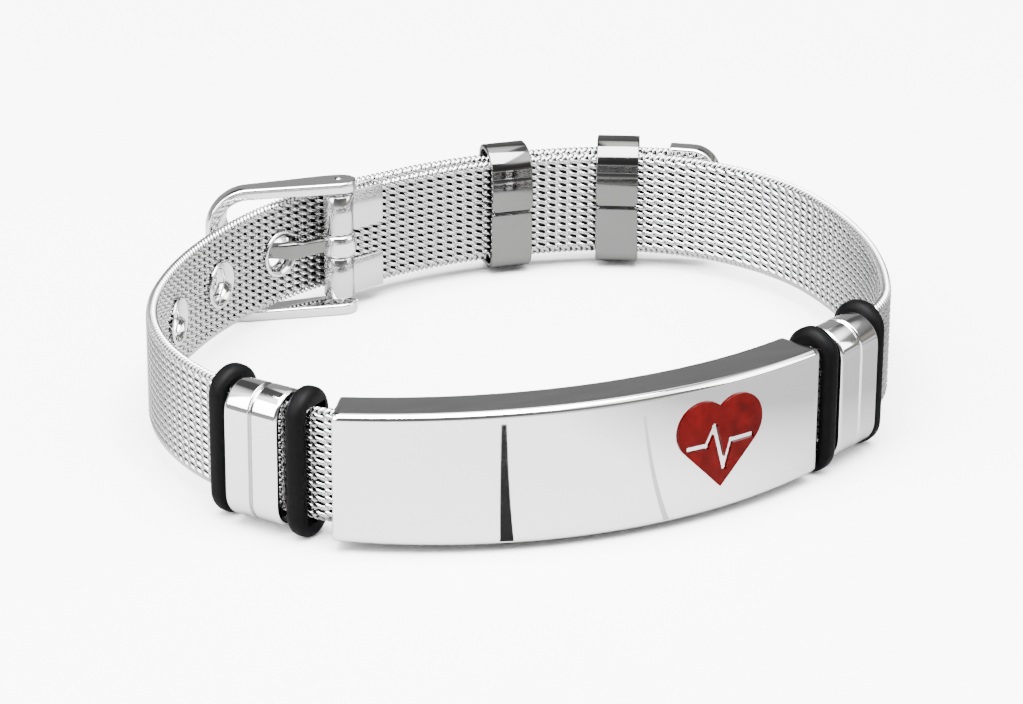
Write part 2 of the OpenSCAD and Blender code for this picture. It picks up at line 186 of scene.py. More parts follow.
def woven(name, start, stop, *nodes):
    """The woven wire between two lengths of the strap."""
    count = int(round((stop - start) / COLUMN))
    columns = start + (np.arange(count) + 0.5) * (stop - start) / count
    rise = STRAP_HEIGHT - 2 * WIRE - EDGE_ROOM
    turns = ROWS / 2
    angle = np.linspace(0, turns * 2 * math.pi, int(turns * COIL_STEPS) + 1)
    reach = COLUMN / 2 + WIRE * 0.75
    depth = STRAP_THICK / 2 - WIRE
    wires = []
    for phase in (0, math.pi):
        c, d = np.cos(angle + phase), np.sin(angle + phase)
        coil = np.stack([
            -reach * np.sign(c) * np.abs(c) ** REACH_SHAPE,
            depth * np.sign(d) * np.abs(d) ** DEPTH_SHAPE,
            -rise / 2 + rise * angle / angle[-1],
        ], -1)
        wires.append(tube(coil, WIRE))
    bend = np.linspace(-1, 1, 9) * math.pi / 2
    for edge in (-1, 1):
        for shift in (-0.25, 0.25):
            tooth = np.stack([
                shift * COLUMN + TOOTH_SLANT * np.sin(bend),
                depth * np.sin(bend),
                edge * (STRAP_HEIGHT / 2 - WIRE - TOOTH_DEPTH * (1 - np.cos(bend))),
            ], -1)
            wires.append(tube(tooth, WIRE * TOOTH_WIRE))
    all_points, all_faces, used = [], [], 0
    for points, faces in wires:
        flat = points.reshape(-1, 3)
        for at in columns:
            all_points.append(flat + [at, 0, 0])
            all_faces.append(faces + used)
            used += len(flat)
    points, faces = np.vstack(all_points), np.vstack(all_faces)
    middle = points[faces].mean(1)
    keep = np.ones(len(faces), bool)
    for at in EYELETS_AT:
        keep &= np.hypot(middle[:, 0] - at, middle[:, 2]) > EYELET_HOLE
    seen, faces = np.unique(faces[keep], return_inverse=True)
    points, faces = points[seen], faces.reshape(-1, 4)
    return piece(name, on_strap(points[:, 0], points[:, 1], points[:, 2]), faces, wire_steel,
                 "steel_mesh", *nodes, sharp=0)


# the plate hides the band between the second and the third of these
woven("mesh_short_end", 1.7, 51.6, "mesh_strap")
woven("mesh_right_side", 51.6, 94.6)
woven("mesh_left_side", 131.6, 186.4)
woven("mesh_long_end", 186.4, 235.1)

# painted shade: a dark sheet deep in the weave and at its edges stands for the wires there, which lie in each
# other's shade
DEEP_STEP, DEEP_HALF = 0.25, 4.5
EDGE_STEP, EDGE_AT, EDGE_HALF = 0.5, 4.58, 0.33
deep_points, deep_faces = [], []


def deep_sheet(marks, outs, heights):
    """A thin dark sheet of painted shade in the band's thickness, with the eyelets' holes left open."""
    base, rows = len(deep_points), max(len(outs), len(heights))
    for at in marks:
        deep_points.extend(on_strap(np.full(rows, at), outs, heights).tolist())
    for i in range(len(marks) - 1):
        for k in range(rows - 1):
            s, z = marks[i] + DEEP_STEP / 2, heights[k] + DEEP_STEP / 2
            if min(math.hypot(s - at, z) for at in EYELETS_AT) > EYELET_HOLE + 0.05:
                first = base + i * rows + k
                deep_faces.append((first, first + rows, first + rows + 1, first + 1))


for start, stop in ((1.9, 94.6), (131.6, 235)):
    heights = np.arange(-DEEP_HALF, DEEP_HALF + 0.01, DEEP_STEP)
    deep_sheet(np.arange(start, stop, DEEP_STEP), 0 * heights, heights)
    for z in (-EDGE_AT, EDGE_AT):
        deep_sheet(np.arange(start, stop, EDGE_STEP), np.array([-EDGE_HALF, EDGE_HALF]), np.array([z, z]))
# the dark sheet of painted shade between and behind the wires
piece("mesh_painted_shade_sheet", deep_points, np.array(deep_faces), painted_wire_shade, "steel_mesh", sharp=0)


# NAME PLATE
# A hollow box of solid steel, bent to the wrist and polished like a mirror in front. The strap
# runs through the slot in its back. Its long edges are rounded and its ends are slightly lower.

PLATE_FROM, PLATE_LENGTH = 92.57, 41.22
PLATE_OUT, PLATE_THICK = 2.85, 4.4
PLATE_HALF, PLATE_CROWN, PLATE_ROUND = 5.55, 0.3, 0.62
PLATE_SLOT = (1.3, 10.2)
# places along the plate and how far its outline is drawn in there, for the small end bevels
END_BEVEL = [(0, 0.16), (0.05, 0.06), (0.16, 0)]


def rounded_outline(x0, z0, x1, z1, r, per_corner=8):
    """A rounded box's outline, going round once."""
    points = []
    for cx, cz, start in ((x1 - r, z1 - r, 0), (x0 + r, z1 - r, 90),
                          (x0 + r, z0 + r, 180), (x1 - r, z0 + r, 270)):
        for a in np.linspace(start, start + 90, per_corner + 1):
            points.append((cx + r * math.cos(math.radians(a)), cz + r * math.sin(math.radians(a))))
    return np.array(points)


def slot_outline(outer, width, height):
    """The slot's outline, point for point in line with the outline round it."""
    angle = np.arctan2(outer[:, 1], outer[:, 0])
    c, s = np.abs(np.cos(angle)) + 1e-9, np.abs(np.sin(angle)) + 1e-9
    reach = np.minimum(width / 2 / c, height / 2 / s)
    return np.stack([reach * np.cos(angle), reach * np.sin(angle)], -1)


def joined(loops, closed=True):
    """Points and faces that join loops of points one after the other."""
    n = len(loops[0])
    points = np.vstack(loops)
    faces = []
    for a in range(len(loops) if closed else len(loops) - 1):
        b = (a + 1) % len(loops)
        for k in range(n):
            m = (k + 1) % n
            faces.append((a * n + k, a * n + m, b * n + m, b * n + k))
    return points, faces


plate_marks = END_BEVEL + [(v, 0) for v in np.linspace(0.6, PLATE_LENGTH - 0.6, 110)]
plate_marks += [(PLATE_LENGTH - v, inset) for v, inset in END_BEVEL[::-1]]
plate_loops = []
for mark, inset in plate_marks:
    across = 2 * mark / PLATE_LENGTH - 1
    half = PLATE_HALF + PLATE_CROWN * (1 - across ** 2) - inset
    outline = rounded_outline(PLATE_OUT - PLATE_THICK + inset, -half, PLATE_OUT - inset, half, PLATE_ROUND)
    plate_loops.append(on_strap(PLATE_FROM + mark + 0 * outline[:, 0], outline[:, 0], outline[:, 1]))
slot = slot_outline(
    rounded_outline(PLATE_OUT - PLATE_THICK, -PLATE_HALF, PLATE_OUT, PLATE_HALF, PLATE_ROUND), *PLATE_SLOT)
for mark in np.linspace(PLATE_LENGTH, 0, 60):
    plate_loops.append(on_strap(PLATE_FROM + mark + 0 * slot[:, 0], slot[:, 0], slot[:, 1]))
points, faces = joined(plate_loops)
mirror_steel = metal("mirror polished steel", (0.95, 0.95, 0.95), 0.035, spots=0.01)
brushed_steel_and_groove_shade = metal("brushed steel, with painted groove shade", (0.41, 0.41, 0.41), 0.16, grain=0.1, stretch=(0.15, 1, 1), spots=0.04)
plate = piece("name_plate_polished", points, faces, mirror_steel, "polished_steel", "name_plate")
plate.data.materials.append(brushed_steel_and_groove_shade)
for face in plate.data.polygons:
    # the long edges are brushed, and so is the side that lies on the wrist
    long_edge = abs(face.normal.z) > 0.97
    wrist_side = face.normal.x * face.center.x + face.normal.y * face.center.y < -0.01
    face.material_index = 1 if long_edge or wrist_side else 0


# HEART EMBLEM
# Hard red enamel in the shape of a heart, fired on the plate and crossed by a bare pulse line.
# The enamel is slightly cloudy and glossy, with a deeper red where it is thick.

enamel = bpy.data.materials.new("red enamel")
enamel.use_nodes = True
nodes, links = enamel.node_tree.nodes, enamel.node_tree.links
shader = nodes["Principled BSDF"]
shader.inputs["Roughness"].default_value = 0.28
shader.inputs["Specular IOR Level"].default_value = 0.05
cloud = nodes.new("ShaderNodeTexNoise")
cloud.inputs["Scale"].default_value = 700.0
cloud.inputs["Detail"].default_value = 5.0
where = nodes.new("ShaderNodeTexCoord")
links.new(where.outputs["Object"], cloud.inputs["Vector"])
ramp = nodes.new("ShaderNodeValToRGB")
ramp.color_ramp.elements[0].position = 0.3
ramp.color_ramp.elements[0].color = (0.024, 0.0002, 0.0002, 1)
ramp.color_ramp.elements[1].position = 0.7
ramp.color_ramp.elements[1].color = (0.05, 0.0005, 0.0005, 1)
links.new(cloud.outputs["Fac"], ramp.inputs["Fac"])
links.new(ramp.outputs["Color"], shader.inputs["Base Color"])
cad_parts["heart_emblem"].data.materials.clear()
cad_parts["heart_emblem"].data.materials.append(enamel)


# BARRELS
# Two hollow steel beads with round tops, one at each end of the plate. Each has a groove turned
# round its middle and small polished bevels at its ends. The strap goes through their slots.

BARREL_THICK, BARREL_HEIGHT, BARREL_BEVEL = 4.8, 11.75, 0.35
SLEEVE_SLOT = (3.0, 10.2)
GROOVE = [(0.0, 0.25), (0.12, 0.2), (0.2, 0.05), (0.225, 0.02), (0.26, 0)]


def placed(s, out=0.0, lean=0.0):
    """Turns places (out, height, along) of a straight piece on the strap into points."""
    h = math.radians(float(np.interp(s, LINE[0], LINE[3])))
    outward, forward = np.array([-math.sin(h), math.cos(h), 0]), np.array([math.cos(h), math.sin(h), 0])
    origin = on_strap(s, 0.0, 0.0) * 1000 + out * outward
    c, d = math.cos(math.radians(lean)), math.sin(math.radians(lean))
    outward, forward = c * outward - d * forward, c * forward + d * outward

    def points(local):
        local = np.asarray(local, float)
        return (origin + local[:, :1] * outward + local[:, 1:2] * [0, 0, 1] + local[:, 2:] * forward) / 1000

    return points


def stadium(t, h, steps=20):
    """An outline with straight sides and round top and bottom."""
    a = np.radians(np.linspace(0, 180, steps + 1))
    top = np.stack([t / 2 * np.cos(a), (h - t) / 2 + t / 2 * np.sin(a)], -1)
    return np.vstack([top, -top])


def sleeve(profile, t, h, place):
    """A loop round the strap from a profile of (along, inset) pairs."""
    loops = []
    for along, inset in profile:
        line = stadium(t - 2 * inset, h - 2 * inset)
        loops.append(place(np.column_stack([line, along + 0 * line[:, 0]])))
    line = slot_outline(stadium(t, h), *SLEEVE_SLOT)
    for along in np.linspace(profile[-1][0], profile[0][0], 5):
        loops.append(place(np.column_stack([line, along + 0 * line[:, 0]])))
    return joined(loops)


def round_over(half, r, steps=5):
    """Profile pairs of a rounded end at +half."""
    return [(half - r + r * math.sin(a), r - r * math.cos(a)) for a in np.linspace(0, math.pi / 2, steps + 1)]


barrel_steel = metal("barrel steel", (0.92, 0.92, 0.92), 0.07, grain=0.05, stretch=(1, 1, 0.2), spots=0.03)
for name, at, out, lean, length in (("barrel_left", 140.3, 0.4, 5, 5.2), ("barrel_right", 87.1, 0.7, 0, 5.4)):
    half_profile = GROOVE + round_over(length / 2, BARREL_BEVEL)
    profile = [(-a, i) for a, i in half_profile[::-1]] + half_profile[1:]
    points, faces = sleeve(profile, BARREL_THICK, BARREL_HEIGHT, placed(at, out, lean))
    barrel = piece(name + "_turned", points, faces, barrel_steel, "polished_steel", name, sharp=28)
    # painted shade: one flank of the groove, its two strips next to the middle, gets the darker brushed steel
    barrel.data.materials.append(brushed_steel_and_groove_shade)
    around, middle = len(stadium(BARREL_THICK, BARREL_HEIGHT)), len(half_profile) - 1
    for face in list(barrel.data.polygons)[middle * around:(middle + 2) * around]:
        face.material_index = 1


# RUBBER RINGS
# Four black rubber rings, squeezed over the strap on both sides of each barrel. The rubber is
# matte and its surface is soft and slightly uneven.

RING_THICK, RING_HEIGHT, RING_WIDTH, RING_ROUND = 4.7, 12.9, 1.75, 0.7
rubber = bpy.data.materials.new("black rubber")
rubber.use_nodes = True
nodes, links = rubber.node_tree.nodes, rubber.node_tree.links
shader = nodes["Principled BSDF"]
shader.inputs["Specular IOR Level"].default_value = 0.05
skin = nodes.new("ShaderNodeTexNoise")
skin.inputs["Scale"].default_value = 1800.0
skin.inputs["Detail"].default_value = 6.0
where = nodes.new("ShaderNodeTexCoord")
links.new(where.outputs["Object"], skin.inputs["Vector"])
shade = nodes.new("ShaderNodeValToRGB")
shade.color_ramp.elements[0].color = (0.0006, 0.0006, 0.0007, 1)
shade.color_ramp.elements[1].color = (0.0014, 0.0014, 0.0017, 1)
links.new(skin.outputs["Fac"], shade.inputs["Fac"])
links.new(shade.outputs["Color"], shader.inputs["Base Color"])
gloss = nodes.new("ShaderNodeMapRange")
gloss.inputs["To Min"].default_value = 0.38
gloss.inputs["To Max"].default_value = 0.6
links.new(skin.outputs["Fac"], gloss.inputs["Value"])
links.new(gloss.outputs["Result"], shader.inputs["Roughness"])
bump = nodes.new("ShaderNodeBump")
bump.inputs["Strength"].default_value = 0.25
bump.inputs["Distance"].default_value = 0.00003
links.new(skin.outputs["Fac"], bump.inputs["Height"])
links.new(bump.outputs["Normal"], shader.inputs["Normal"])
for i, (at, out) in enumerate(((83.4, 0.3), (90.9, 0.8), (136.4, 0), (144.2, 0)), 1):
    end = round_over(RING_WIDTH / 2, RING_ROUND, 8)
    profile = [(-a, k) for a, k in end[::-1]] + end
    points, faces = sleeve(profile, RING_THICK, RING_HEIGHT, placed(at, out))
    piece(f"rubber_ring_{i}_soft", points, faces, rubber, "black_rubber", f"rubber_ring_{i}", sharp=60)


# KEEPERS
# Two loops of bright steel sheet that hold the long end against the short end. Each is bent
# round both layers, and the sheet's ends meet in an open seam on the inner side.

KEEPER_SHEET, KEEPER_LENGTH, KEEPER_HEIGHT = 0.45, 4.0, 11.8
KEEPER_ROOM, KEEPER_CORNER = 0.23, 1.3
SEAM_MARKS = (0.07, 0.09, 0.13, 0.2, 0.3, 0.45)  # heights beside the seam, where the ends round off
SWELL, SWELL_TOP, SWELL_END = 0.27, 1.6, 3.4  # the upper wall stands out and slopes back above
BEND_R = 2.25
sheet_steel = metal("bright sheet steel", (0.75, 0.75, 0.75), 0.07, grain=0.04, spots=0.03)
# painted shade: the keepers and the tongue bar are bright steel, and this dark colour stands for the shaded
# places their polish reflects
steel_darkened_for_shade = metal("polished sheet darkened for painted shade", (0.17, 0.17, 0.167), 0.09, grain=0.03, spots=0.04)


def across_line(line):
    """The unit directions along an open line and to its left."""
    along = np.gradient(line, axis=0)
    along /= np.linalg.norm(along, axis=1, keepdims=True)
    return np.stack([-along[:, 1], along[:, 0]], -1)


def bent_sheet(line, thick, length, bevel=0.12, corner=0.5):
    """Loops across a sheet that is bent along an open line of (out, height) places."""
    steps = np.linalg.norm(np.diff(line, axis=0), axis=1)
    run = np.concatenate([[0], np.cumsum(steps)])
    to_end = np.minimum(np.minimum(run, run[-1] - run), corner)
    narrower = corner - np.sqrt(np.maximum(corner ** 2 - (corner - to_end) ** 2, 0))
    section = rounded_outline(-thick / 2, -length / 2, thick / 2, length / 2, bevel, 3)
    loops = []
    for spot, way, inset, near in zip(line, across_line(line), narrower, to_end):
        thin = 0.6 + 0.4 * math.sqrt(min(1, near / 0.15))
        x = spot + thin * section[:, :1] * way
        loops.append(np.column_stack([x, section[:, 1] - np.sign(section[:, 1]) * inset]))
    return loops


def capped(loops):
    """Faces that join loops and close both ends."""
    points, faces = joined(loops, closed=False)
    n = len(loops[0])
    faces.append(tuple(range(n))[::-1])
    faces.append(tuple(len(points) - n + k for k in range(n)))
    return points, faces


for name, at, lap in (("keeper_left", 18.7, 1.75), ("keeper_right", 29.25, 2.2)):
    inside = STRAP_THICK / 2 + KEEPER_ROOM + KEEPER_SHEET / 2
    half = (KEEPER_HEIGHT - KEEPER_SHEET) / 2
    ring = rounded_outline(-inside, -half, lap + inside, half, KEEPER_CORNER - KEEPER_SHEET / 2, 10)
    upper_right, lower_left, lower_right = ring[:11], ring[22:33], ring[33:]
    upper_wall = []
    for z in (*SEAM_MARKS, *np.linspace(0.7, SWELL_END, 12)):
        back = max(0, (z - SWELL_TOP) / (SWELL_END - SWELL_TOP)) ** 2
        upper_wall.append((-inside - SWELL * (1 - back), z))
    upper_bend = []
    for a in np.radians(np.linspace(14, 90, 12)):
        upper_bend.append((BEND_R * (1 - math.cos(a)) - inside - 0.07, half - BEND_R * (1 - math.sin(a))))
    lower_wall = []
    for z in (*np.linspace(4.4, 0.7, 9), *SEAM_MARKS[::-1]):
        lower_wall.append((-inside - 0.05 * math.sin(math.pi * z / 4.6), -z))
    line = np.vstack([upper_wall, upper_bend, upper_right[::-1], lower_right[::-1], lower_left[::-1], lower_wall])
    place = placed(at)
    points, faces = capped([place(loop) for loop in bent_sheet(line, KEEPER_SHEET, KEEPER_LENGTH)])
    # the keepers get the darkened steel, which is painted shade
    piece(name + "_bent", points, faces, steel_darkened_for_shade, "polished_steel", name)


# BUCKLE FRAME AND PIN
# One steel strip bent into a U: two arms and a far bar. The arms' round ends sit on the steel
# pin, which goes through them, the lug's tubes and the tongue.

ARM_HEADING = 171.5
PIN_ALONG, PIN_INSET, ARM_INSET = -0.15, 0.45, 0.35
FRAME_HEIGHT, FRAME_SHEET, FRAME_LENGTH, FRAME_BEND = 12.9, 1.05, 12.6, 3.8
ARM_HALF, BAR_BACK, BAR_CHAMFER = 1.4, -0.1, 1.1
buckle_steel = metal("buckle steel", (0.85, 0.85, 0.85), 0.09, grain=0.06, spots=0.04)

h = math.radians(HINGE[2])
hinge_forward, hinge_outward = np.array([math.cos(h), math.sin(h)]), np.array([-math.sin(h), math.cos(h)])
pin = np.array(HINGE[:2]) + PIN_ALONG * hinge_forward - PIN_INSET * hinge_outward


def hinge_place(local, turn=0.0, inset=0.0):
    """Places (along, out, height) at the hinge pin, turned about it, as points."""
    c, d = math.cos(math.radians(turn)), math.sin(math.radians(turn))
    local = np.asarray(local, float)
    x, y = c * local[:, 0] - d * local[:, 1], d * local[:, 0] + c * local[:, 1] - inset
    flat = pin + x[:, None] * hinge_forward + y[:, None] * hinge_outward
    return np.column_stack([flat, MID_HEIGHT + local[:, 2]]) / 1000


def strip_loops(line, back, front, chamfer, thick, bevel=0.22):
    """Loops of a strip along a line of (along, height) places, from its back to its front edge."""
    outline = rounded_outline(-thick / 2, -1, thick / 2, 1, bevel, 4)
    behind, inner = outline[:, 1] < 0, outline[:, 0] < 0
    loops = []
    for spot, way, low, high, slope in zip(line, across_line(line), back, front, chamfer):
        shape = outline.copy()
        shape[:, 1] += np.where(behind, low + 1, high - 1)
        shape[behind & inner, 0] -= slope
        x = spot + shape[:, :1] * way
        loops.append(np.column_stack([x[:, 0], shape[:, 1], x[:, 1]]))
    return loops


arm_height = (FRAME_HEIGHT - FRAME_SHEET) / 2
bend_from, bend_r = FRAME_LENGTH - FRAME_BEND, FRAME_BEND - FRAME_SHEET / 2
arm = [(-a, arm_height) for a in (1.4, 1.37, 1.25, 1.0, 0.6)]
arm += [(a, arm_height) for a in np.linspace(0, bend_from, 12)]
for a in np.radians(np.linspace(90, 0, 16)[1:]):
    arm.append((bend_from + bend_r * math.cos(a), arm_height - bend_r + bend_r * math.sin(a)))
back, front, chamfer = [], [], []
for along, height in arm:
    end = math.sqrt(max(ARM_HALF ** 2 - min(along, 0) ** 2, 0.09))
    taper = min(1, max(0, (along - ARM_HALF) / (FRAME_LENGTH - FRAME_SHEET - ARM_HALF)))
    back.append(max(-end, -ARM_HALF + (ARM_HALF + BAR_BACK) * taper))
    front.append(end)
    chamfer.append(BAR_CHAMFER * min(1, max(0, (arm_height - height) / (bend_r - 0.6))))
line = np.array(arm + [(x, -z) for x, z in arm[::-1]])
loops = strip_loops(line, back + back[::-1], front + front[::-1], chamfer + chamfer[::-1], FRAME_SHEET)
points, faces = capped([hinge_place(loop, ARM_HEADING - HINGE[2], ARM_INSET) for loop in loops])
piece("buckle_frame_bent", points, faces, buckle_steel, "polished_steel", "buckle_frame")


def turned(profile, place, steps=48):
    """A turned piece from a profile of (radius, height) pairs, closed on itself."""
    loops = []
    for a in np.linspace(0, 2 * math.pi, steps, endpoint=False):
        loops.append(place(np.array([(r * math.cos(a), r * math.sin(a), z) for r, z in profile])))
    return joined(loops)


pin_profile = [(0.001, -6.35), (0.4, -6.35), (0.5, -6.25), (0.5, 6.42), (0.4, 6.5), (0.001, 6.53)]
points, faces = turned(pin_profile, hinge_place, 32)
piece("buckle_pin_turned", points, faces, buckle_steel, "polished_steel", "buckle_pin")


# TONGUE
# A steel wire bar, flattened and curled round the pin. It dives through the third eyelet from
# below and rests on the far bar of the frame.

HALF_THICK, HALF_WIDE, TONGUE_BEVEL = 0.4, 0.7, 0.22
# along and out from the eyelet, and for the tip along the arms and out from the pin
TONGUE_BOW, TONGUE_DIVE, TONGUE_OUT = (2.2, -1.6), (1.1, -1.35), (-1.0, 1.3)
TONGUE_TIP = (12.1, 0.1)
WIDER_AT, WIDER_SPAN, WIDER_BY = 15, 3.5, 0.22  # the bar is flattened wider near the eyelet
TONGUE_RISE, LOOP_RISE = 0.15, 0.1  # above the strap's middle
loop_half = [(1.65, 0.25), (1.6, 0.65), (1.52, 0.92), (1.35, 1.05), (0.7, 1.05), (0.6, 0.95)]
loop_profile = [(r, -z) for r, z in loop_half[::-1]] + loop_half


def loop_place(local):
    """Places on the tongue's loop round the pin."""
    return hinge_place(np.asarray(local) + [0, 0, LOOP_RISE])


points, faces = turned(loop_profile, loop_place, 56)
piece("tongue_loop", points, faces, buckle_steel, "polished_steel", "buckle_tongue", sharp=50)

bow, dive, rise = [on_strap(EYELETS_AT[2] + along, out, 0)[:2] * 1000
                   for along, out in (TONGUE_BOW, TONGUE_DIVE, TONGUE_OUT)]
arm_way = np.array([math.cos(math.radians(ARM_HEADING)), math.sin(math.radians(ARM_HEADING))])
tip = pin + TONGUE_TIP[0] * arm_way + TONGUE_TIP[1] * np.array([arm_way[1], -arm_way[0]])
route = [pin + 0.9 * (bow - pin) / np.linalg.norm(bow - pin), bow, dive, rise, tip]
dense = [route[0]]
for a, b in zip(route[:-1], route[1:]):
    for f in np.linspace(0, 1, 9)[1:]:
        dense.append(a + f * (b - a))
dense = np.array(dense)
for _ in range(3):
    dense[1:-1] = (dense[:-2] + 2 * dense[1:-1] + dense[2:]) / 4
loops = []
section = rounded_outline(-HALF_THICK, -HALF_WIDE, HALF_THICK, HALF_WIDE, TONGUE_BEVEL, 4)
for i, (spot, side) in enumerate(zip(dense, across_line(dense))):
    slim = {len(dense) - 1: 0.55, len(dense) - 2: 0.85}.get(i, 1.0)
    wide = 1 + WIDER_BY * math.exp(-((i - WIDER_AT) / WIDER_SPAN) ** 2)
    x = spot + slim * section[:, :1] * side
    loops.append(np.column_stack([x, MID_HEIGHT + TONGUE_RISE + slim * wide * section[:, 1]]) / 1000)
points, faces = capped(loops)
# the bar gets the darkened steel, which is painted shade; its loop keeps the bright buckle steel
piece("tongue_bar", points, faces, steel_darkened_for_shade, "polished_steel", "buckle_tongue")


# LUGS
# Two folded pieces of satin sheet that clip over the short end. Each is rolled into a tube
# round the pin, above and below the tongue's loop, with a leaf on each face of the strap.

LUG_SHEET, LUG_ROOM = 0.32, 0.08
LEAF_FROM, LEAF_TO, OUTER_LEAF = 0.9, 4.7, 2.3
satin_steel = metal("satin sheet steel", (0.66, 0.66, 0.66), 0.13, grain=0.12, stretch=(0.3, 0.3, 1), spots=0.05)


def leaf(name, kind, y0, z0, y1, z1, bevel=0.08):
    """A lug's small plate with rounded edges, on one face of the strap's short end."""
    loops = []
    for z, inset in ((z0, bevel), (z0 + bevel * 0.3, bevel * 0.3), (z0 + bevel, 0), (z1 - bevel, 0),
                     (z1 - bevel * 0.3, bevel * 0.3), (z1, bevel)):
        line = rounded_outline(LEAF_FROM + inset, y0 + inset, LEAF_TO - inset, y1 - inset, bevel, 3)
        loops.append(hinge_place(np.column_stack([line, z + 0 * line[:, 0]]) - [PIN_ALONG, -PIN_INSET, 0]))
    points, faces = capped(loops)
    piece(name + kind, points, faces, satin_steel, "satin_steel", name)


for name, low, high, leaf_low, leaf_high, outer_low in (
        ("lug_upper", 1.25, 5.0, 1.2, 5.0, 2.7), ("lug_lower", -5.0, -1.05, -5.0, -1.7, -5.0)):
    tube_profile = [(0.6, low + 0.1), (0.7, low), (1.3, low), (1.4, low + 0.1),
                    (1.4, high - 0.1), (1.3, high), (0.7, high), (0.6, high - 0.1)]
    points, faces = turned(tube_profile, hinge_place, 48)
    piece(name + "_tube", points, faces, satin_steel, "satin_steel", name, sharp=50)
    y = STRAP_THICK / 2 + LUG_ROOM
    leaf(name, "_inner_leaf", -y - LUG_SHEET, leaf_low, -y, leaf_high)
    leaf(name, "_outer_leaf", y, outer_low, y + LUG_SHEET, outer_low + OUTER_LEAF)


# EYELETS
# Five bright steel eyelets, pressed through the long end. Each has a rolled flange on both
# faces and a throat that opens outwards like a funnel.

# radius of the throat and the flange, and how far out from the strap's middle
half_rim = [(1.32, 0.12), (1.37, 0.35), (1.52, 0.55), (1.74, 0.72), (1.92, 0.81),
            (2.06, 0.84), (2.17, 0.79), (2.2, 0.71), (2.16, 0.69), (1.75, 0.69)]
rim = half_rim + [(r, -z) for r, z in half_rim[::-1]]
for i, at in enumerate(EYELETS_AT, 1):
    place = placed(at)
    points, faces = turned(rim, lambda local, place=place: place(local[:, [2, 1, 0]]), 56)
    piece(f"eyelet_{i}_pressed", points, faces, sheet_steel, "polished_steel", f"eyelet_{i}", sharp=50)


# METAL TIP
# A folded cap of bright sheet, clamped over the end of the long end. Its two outer corners are
# round, and the mesh goes into its open side.

TIP_FROM, TIP_TO, TIP_HEIGHT, TIP_THICK = 233.1, 237.8, 10.6, 1.9
TIP_CORNER, TIP_NOSE = 2.5, 0.35
loops = []
for f in np.linspace(0, 1, 26):
    s = TIP_FROM + f * (TIP_TO - TIP_FROM)
    past = max(0.0, s - (TIP_TO - TIP_CORNER))
    half = TIP_HEIGHT / 2 - TIP_CORNER + math.sqrt(max(TIP_CORNER ** 2 - past ** 2, 0.02))
    past = max(0.0, TIP_NOSE - (TIP_TO - s))
    thin = TIP_NOSE - math.sqrt(max(TIP_NOSE ** 2 - past ** 2, 0)) + (0.12 if f == 0 else 0)
    outline = rounded_outline(thin * 0.8 - TIP_THICK / 2, -half, TIP_THICK / 2 - thin * 0.8, half, 0.3, 5)
    loops.append(on_strap(s + 0 * outline[:, 0], outline[:, 0], outline[:, 1]))
points, faces = capped(loops)
faces = faces[:-2] + [faces[-1]]  # the cap's open side
piece("strap_tip_folded", points, faces, sheet_steel, "polished_steel", "strap_tip", sharp=50)


# STUDIO
# A plain pale table, soft light from above and from both sides, and a darker wall behind,
# which the polished tops reflect. Polished metal sees a greyer table than the camera does.

ROOM_TURN = math.radians(21)  # the room stands square to the camera
TO_RIGHT, TO_BACK = (0.934, -0.358, 0), (0.358, 0.934, 0)
PAPER = 0.93


def blend(tree, value, low, high, stops):
    """A colour ramp over a value that runs from low to high."""
    spread = tree.nodes.new("ShaderNodeMapRange")
    spread.inputs["From Min"].default_value = low
    spread.inputs["From Max"].default_value = high
    tree.links.new(value, spread.inputs["Value"])
    ramp = tree.nodes.new("ShaderNodeValToRGB")
    elements = ramp.color_ramp.elements
    while len(elements) < len(stops):
        elements.new(0.5)
    for element, (position, level) in zip(elements, stops):
        element.position = position
        element.color = (*level, 1) if isinstance(level, tuple) else (level, level, level, 1)
    tree.links.new(spread.outputs["Result"], ramp.inputs["Fac"])
    return ramp.outputs["Color"]


def over(tree, base, colour, share, way="MIX"):
    """Puts one colour over another by a share, or multiplies them."""
    mix = tree.nodes.new("ShaderNodeMixRGB")
    mix.blend_type = way
    for socket, value in (("Fac", share), ("Color1", base), ("Color2", colour)):
        if isinstance(value, (float, tuple)):
            mix.inputs[socket].default_value = value
        else:
            tree.links.new(value, mix.inputs[socket])
    return mix.outputs["Color"]


def staged(name, points, faces, material):
    """A thing that belongs to the studio and not to the bracelet."""
    mesh = bpy.data.meshes.new(name)
    mesh.from_pydata(points, [], faces)
    mesh.materials.append(material)
    obj = bpy.data.objects.new(name, mesh)
    bpy.context.scene.collection.objects.link(obj)
    return obj


def matte(name, level):
    """Matte paper of one grey."""
    paint = bpy.data.materials.new(name)
    paint.use_nodes = True
    paint.node_tree.nodes["Principled BSDF"].inputs["Base Color"].default_value = (level, level, level, 1)
    paint.node_tree.nodes["Principled BSDF"].inputs["Roughness"].default_value = 0.9
    return paint


paper = matte("white paper", PAPER)
tree = paper.node_tree
ray = tree.nodes.new("ShaderNodeLightPath")
where = tree.nodes.new("ShaderNodeTexCoord")


def spot_along(direction):
    """How far a place on the table lies in a direction, in metres."""
    product = tree.nodes.new("ShaderNodeVectorMath")
    product.operation = "DOT_PRODUCT"
    product.inputs[1].default_value = direction
    tree.links.new(where.outputs["Object"], product.inputs[0])
    return product.outputs["Value"]


# in the metal the table is greyer, with painted shade that is darker to the right and darker again behind the
# bracelet
greyer = blend(tree, spot_along(TO_RIGHT), -0.04, 0.06, [(0.0, 0.3), (0.6, 0.28), (0.72, 0.17), (0.84, 0.07)])
behind = blend(tree, spot_along(TO_BACK), 0.03, 0.08, [(0.0, 1.0), (1.0, 0.12)])
greyer = over(tree, greyer, behind, 1.0, "MULTIPLY")
tone = over(tree, (PAPER, PAPER, PAPER, 1), greyer, ray.outputs["Is Glossy Ray"])
tree.links.new(tone, tree.nodes["Principled BSDF"].inputs["Base Color"])
staged("table", [(-2, -2, 0), (2, -2, 0), (2, 2, 0), (-2, 2, 0)], [(0, 1, 2, 3)], paper)

